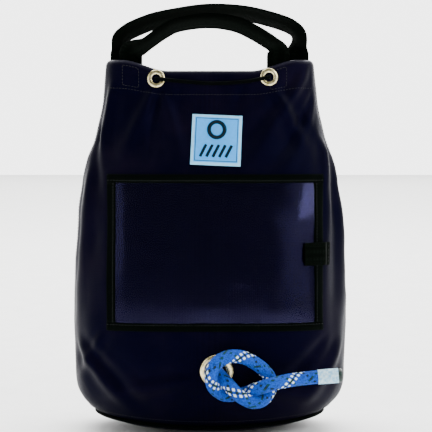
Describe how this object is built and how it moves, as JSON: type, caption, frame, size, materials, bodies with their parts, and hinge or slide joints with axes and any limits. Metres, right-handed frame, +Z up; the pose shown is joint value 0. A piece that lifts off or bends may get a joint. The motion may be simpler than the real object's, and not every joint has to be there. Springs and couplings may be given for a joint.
{
  "type": "rope storage bag",
  "caption": "Soft upright sack with two webbing handles, drawcord hem, clear window pocket and a grommet near the base with a knotted rope end.",
  "frame": {"origin": "on the floor under the middle of the base", "axes": "+Z up through the mouth, -Y out of the front with the window pocket, +X to the right seen from the front"},
  "size_m": [0.304, 0.1969, 0.4722],
  "materials": {
    "coated_cloth": "navy-black coated pack cloth, satin",
    "webbing": "black woven webbing, matt",
    "binding": "black grosgrain binding tape, matt",
    "brass": "pale plated brass, polished",
    "label_cloth": "light blue woven label",
    "clear_vinyl": "clear pressed vinyl sheet, glossy",
    "hook_and_loop": "black hook and loop tape",
    "drawcord": "black braided cord",
    "rope": "blue kernmantle rope with white and dark green tracers",
    "whipping_tape": "white adhesive tape"
  },
  "bodies": {
    "root": {"front_panel": "coated_cloth", "back_panel": "coated_cloth", "base_panel": "coated_cloth", "front_hem": "coated_cloth", "back_hem": "coated_cloth", "front_handle_anchor_left": "webbing", "front_handle_anchor_right": "webbing", "rear_handle_anchor_left": "webbing", "rear_handle_anchor_right": "webbing", "hank_tie": "webbing", "side_seam_tape_left": "binding", "side_seam_tape_right": "binding", "base_piping": "binding", "window_binding_top": "binding", "window_binding_bottom": "binding", "window_binding_left": "binding", "window_binding_right": "binding", "eyelet_left": "brass", "eyelet_right": "brass", "eyelet_washer_left": "brass", "eyelet_washer_right": "brass", "rope_grommet": "brass", "rope_grommet_washer": "brass", "label_patch": "label_cloth", "window_sheet": "clear_vinyl", "tab_loop_patch": "hook_and_loop", "drawcord_front_run": "drawcord", "drawcord_hem_run": "drawcord", "rope_lead_in": "rope", "rope_hank": "rope"},
    "front_handle": {"front_handle": "webbing"},
    "rear_handle": {"rear_handle": "webbing"},
    "pocket_tab": {"closure_tab": "webbing", "tab_hook_patch": "hook_and_loop"},
    "rope_end": {"rope_knot": "rope", "rope_whipping": "whipping_tape"}
  },
  "joints": [
    {"name": "front_handle_swing", "type": "hinge", "parent": "root", "child": "front_handle", "pos_m": [0, -0.0114, 0.4125], "axis": [1, 0, 0], "range_deg": [0, 85]},
    {"name": "rear_handle_swing", "type": "hinge", "parent": "root", "child": "rear_handle", "pos_m": [0, 0.0088, 0.4125], "axis": [-1, 0, 0], "range_deg": [0, 85]},
    {"name": "pocket_tab_flip", "type": "hinge", "parent": "root", "child": "pocket_tab", "pos_m": [0.1269, -0.0593, 0.1986], "axis": [0, 0.115, 0.9934], "range_deg": [0, 150]},
    {"name": "rope_end_swivel", "type": "hinge", "parent": "root", "child": "rope_end", "pos_m": [0.0078, -0.08, 0.0725], "axis": [0, 1, 0], "range_deg": [-35, 15]}
  ]
}
